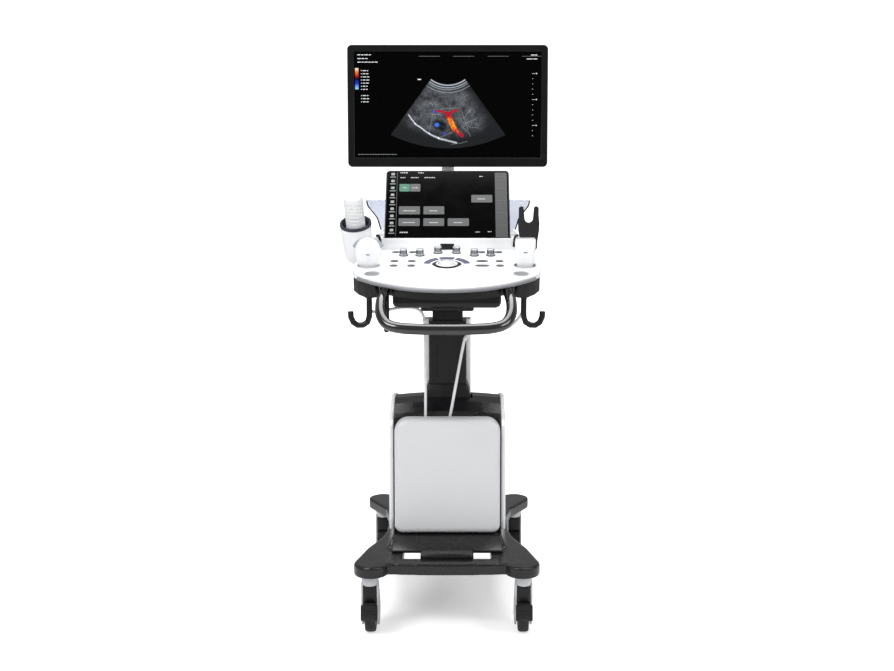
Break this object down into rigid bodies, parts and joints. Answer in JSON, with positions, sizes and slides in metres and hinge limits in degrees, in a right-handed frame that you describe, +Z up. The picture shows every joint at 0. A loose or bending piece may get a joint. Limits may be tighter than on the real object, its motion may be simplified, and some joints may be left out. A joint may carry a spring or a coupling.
{
  "type": "ultrasound machine",
  "caption": "Cart-type ultrasound scanner: casters, lifting column, curved control console with probes, tilting touch panel and a monitor on a swivel arm.",
  "frame": {"origin": "on the floor at the middle of the machine's box, between the casters", "axes": "+Z up, the user stands at -Y and faces +Y, +X to the user's right"},
  "size_m": [0.573, 0.854, 1.5813],
  "materials": {
    "white_shell": "satin white moulded plastic",
    "black_shell": "fine-textured black plastic",
    "black_casting": "black powder coat",
    "column_paint": "satin black",
    "handle_black": "gloss black tube",
    "grey_trim": "silver-grey plastic",
    "grey_metal": "silver-grey paint",
    "key_grey": "backlit silicone keys",
    "screen_glass": "black cover glass",
    "tyre_black": "dark rubber tread",
    "soft_black": "soft matt rubber",
    "clear_blue": "translucent pale blue",
    "cable_white": "matt white jacket"
  },
  "bodies": {
    "base": {"base_chassis": "black_casting", "body_shell": "black_shell", "side_panel_left": "white_shell", "side_panel_right": "white_shell", "rear_cover": "black_shell", "port_panel": "black_shell", "probe_connector_left": "white_shell", "probe_connector_right": "white_shell", "electronics_module": "grey_metal", "power_inlet": "grey_trim", "column_lower": "column_paint"},
    "cover": {"front_cover": "white_shell"},
    "lift": {"column_upper": "column_paint", "lift_head": "column_paint"},
    "console": {"console_top": "white_shell", "console_under": "black_shell", "front_handle": "handle_black", "hook_left": "black_shell", "hook_right": "black_shell", "gel_cup": "white_shell", "storage_bin": "clear_blue", "cable_fork": "soft_black", "touch_base": "grey_trim", "trackball_ring": "key_grey", "monitor_post": "grey_metal", "probe_cable_left": "cable_white", "probe_cable_right": "cable_white"},
    "touch_screen": {"touch_shell": "black_shell", "touch_glass": "screen_glass"},
    "arm": {"monitor_arm": "grey_metal"},
    "knuckle": {"monitor_knuckle": "grey_metal"},
    "monitor": {"monitor_bezel": "black_shell", "monitor_screen": "screen_glass", "monitor_rear_cover": "white_shell"},
    "ball": {"trackball": "white_shell"},
    "left_keys": {"keys_left": "key_grey"},
    "right_keys": {"keys_right": "key_grey"},
    "probe_left": {"probe_convex": "white_shell"},
    "probe_right": {"probe_linear": "white_shell"},
    "bottle": {"gel_bottle": "white_shell"},
    "lever": {"release_lever": "black_shell"},
    "caster_front_left": {"caster_fork_front_left": "black_shell"},
    "wheel_front_left": {"caster_wheel_front_left": "tyre_black"},
    "pedal_front_left": {"brake_pedal_front_left": "black_shell"},
    "caster_front_right": {"caster_fork_front_right": "black_shell"},
    "wheel_front_right": {"caster_wheel_front_right": "tyre_black"},
    "pedal_front_right": {"brake_pedal_front_right": "black_shell"},
    "caster_rear_left": {"caster_fork_rear_left": "black_shell"},
    "wheel_rear_left": {"caster_wheel_rear_left": "tyre_black"},
    "caster_rear_right": {"caster_fork_rear_right": "black_shell"},
    "wheel_rear_right": {"caster_wheel_rear_right": "tyre_black"},
    "knob_1_body": {"knob_1": "grey_trim"},
    "knob_2_body": {"knob_2": "grey_trim"},
    "knob_3_body": {"knob_3": "grey_trim"},
    "knob_4_body": {"knob_4": "grey_trim"},
    "knob_5_body": {"knob_5": "grey_trim"},
    "knob_6_body": {"knob_6": "grey_trim"},
    "arc_key_left_body": {"arc_key_left": "key_grey"},
    "arc_key_top_body": {"arc_key_top": "key_grey"},
    "arc_key_right_body": {"arc_key_right": "key_grey"}
  },
  "joints": [
    {"name": "caster_swivel_front_left", "type": "hinge", "parent": "base", "child": "caster_front_left", "pos_m": [-0.203, -0.2425, 0.1], "axis": [0, 0, 1], "continuous": true},
    {"name": "wheel_spin_front_left", "type": "hinge", "parent": "caster_front_left", "child": "wheel_front_left", "pos_m": [-0.203, -0.2175, 0.05], "axis": [1, 0, 0], "continuous": true},
    {"name": "brake_front_left", "type": "hinge", "parent": "caster_front_left", "child": "pedal_front_left", "pos_m": [-0.203, -0.282, 0.09], "axis": [1, 0, 0], "range_deg": [-20, 0]},
    {"name": "caster_swivel_front_right", "type": "hinge", "parent": "base", "child": "caster_front_right", "pos_m": [0.203, -0.2425, 0.1], "axis": [0, 0, 1], "continuous": true},
    {"name": "wheel_spin_front_right", "type": "hinge", "parent": "caster_front_right", "child": "wheel_front_right", "pos_m": [0.203, -0.2175, 0.05], "axis": [1, 0, 0], "continuous": true},
    {"name": "brake_front_right", "type": "hinge", "parent": "caster_front_right", "child": "pedal_front_right", "pos_m": [0.203, -0.282, 0.09], "axis": [1, 0, 0], "range_deg": [-20, 0]},
    {"name": "caster_swivel_rear_left", "type": "hinge", "parent": "base", "child": "caster_rear_left", "pos_m": [-0.207, 0.3455, 0.1], "axis": [0, 0, 1], "continuous": true},
    {"name": "wheel_spin_rear_left", "type": "hinge", "parent": "caster_rear_left", "child": "wheel_rear_left", "pos_m": [-0.207, 0.3705, 0.05], "axis": [1, 0, 0], "continuous": true},
    {"name": "caster_swivel_rear_right", "type": "hinge", "parent": "base", "child": "caster_rear_right", "pos_m": [0.207, 0.3455, 0.1], "axis": [0, 0, 1], "continuous": true},
    {"name": "wheel_spin_rear_right", "type": "hinge", "parent": "caster_rear_right", "child": "wheel_rear_right", "pos_m": [0.207, 0.3705, 0.05], "axis": [1, 0, 0], "continuous": true},
    {"name": "front_cover_flap", "type": "hinge", "parent": "base", "child": "cover", "pos_m": [0, -0.0985, 0.2285], "axis": [1, 0, 0], "range_deg": [0, 55]},
    {"name": "column_lift", "type": "slide", "parent": "base", "child": "lift", "axis": [0, 0, 1], "range_m": [-0.03, 0.22], "deforming": ["probe_cable_left", "probe_cable_right"]},
    {"name": "console_swivel", "type": "hinge", "parent": "lift", "child": "console", "pos_m": [0, 0.1005, 0.861], "axis": [0, 0, 1], "range_deg": [-30, 30]},
    {"name": "touch_tilt", "type": "hinge", "parent": "console", "child": "touch_screen", "pos_m": [0, 0.0185, 1.043], "axis": [1, 0, 0], "range_deg": [-20, 0]},
    {"name": "arm_swivel", "type": "hinge", "parent": "console", "child": "arm", "pos_m": [0, 0.2155, 1.0834], "axis": [0, 0, 1], "range_deg": [-45, 45]},
    {"name": "monitor_swivel", "type": "hinge", "parent": "arm", "child": "knuckle", "pos_m": [0, 0.2005, 1.3755], "axis": [0, 0, 1], "range_deg": [-30, 30]},
    {"name": "monitor_tilt", "type": "hinge", "parent": "knuckle", "child": "monitor", "pos_m": [0, 0.2005, 1.41], "axis": [1, 0, 0], "range_deg": [-20, 3]},
    {"name": "knob_1_turn", "type": "hinge", "parent": "console", "child": "knob_1_body", "pos_m": [-0.118, -0.0845, 0.99737], "axis": [0, -0.2164, 0.9763], "continuous": true},
    {"name": "knob_2_turn", "type": "hinge", "parent": "console", "child": "knob_2_body", "pos_m": [-0.0735, -0.0845, 0.99737], "axis": [0, -0.2164, 0.9763], "continuous": true},
    {"name": "knob_3_turn", "type": "hinge", "parent": "console", "child": "knob_3_body", "pos_m": [-0.0253, -0.0615, 1.00247], "axis": [0, -0.2164, 0.9763], "continuous": true},
    {"name": "knob_4_turn", "type": "hinge", "parent": "console", "child": "knob_4_body", "pos_m": [0.0253, -0.0615, 1.00247], "axis": [0, -0.2164, 0.9763], "continuous": true},
    {"name": "knob_5_turn", "type": "hinge", "parent": "console", "child": "knob_5_body", "pos_m": [0.0735, -0.0845, 0.99737], "axis": [0, -0.2164, 0.9763], "continuous": true},
    {"name": "knob_6_turn", "type": "hinge", "parent": "console", "child": "knob_6_body", "pos_m": [0.118, -0.0845, 0.99737], "axis": [0, -0.2164, 0.9763], "continuous": true},
    {"name": "trackball_roll", "type": "hinge", "parent": "console", "child": "ball", "pos_m": [0, -0.16195, 0.96484], "axis": [1, 0, 0], "continuous": true},
    {"name": "keys_left_press", "type": "slide", "parent": "console", "child": "left_keys", "axis": [0, -0.2164, 0.9763], "range_m": [-0.0015, 0], "stiffness_N_per_m": 900},
    {"name": "keys_right_press", "type": "slide", "parent": "console", "child": "right_keys", "axis": [0, -0.2164, 0.9763], "range_m": [-0.0015, 0], "stiffness_N_per_m": 900},
    {"name": "arc_key_left_press", "type": "slide", "parent": "console", "child": "arc_key_left_body", "axis": [0, -0.2164, 0.9763], "range_m": [-0.0015, 0], "stiffness_N_per_m": 600},
    {"name": "arc_key_top_press", "type": "slide", "parent": "console", "child": "arc_key_top_body", "axis": [0, -0.2164, 0.9763], "range_m": [-0.0015, 0], "stiffness_N_per_m": 600},
    {"name": "arc_key_right_press", "type": "slide", "parent": "console", "child": "arc_key_right_body", "axis": [0, -0.2164, 0.9763], "range_m": [-0.0015, 0], "stiffness_N_per_m": 600},
    {"name": "probe_left_lift_out", "type": "slide", "parent": "console", "child": "probe_left", "axis": [0, -0.2164, 0.9763], "range_m": [0, 0.1]},
    {"name": "probe_right_lift_out", "type": "slide", "parent": "console", "child": "probe_right", "axis": [0, -0.2164, 0.9763], "range_m": [0, 0.1]},
    {"name": "bottle_lift_out", "type": "slide", "parent": "console", "child": "bottle", "axis": [-0.0474, -0.4226, 0.9051], "range_m": [0, 0.1]},
    {"name": "release_lever_pull", "type": "hinge", "parent": "console", "child": "lever", "pos_m": [-0.157, -0.2095, 0.911], "axis": [1, 0, 0], "range_deg": [-7, 0], "stiffness_Nm_per_rad": 1.5}
  ]
}
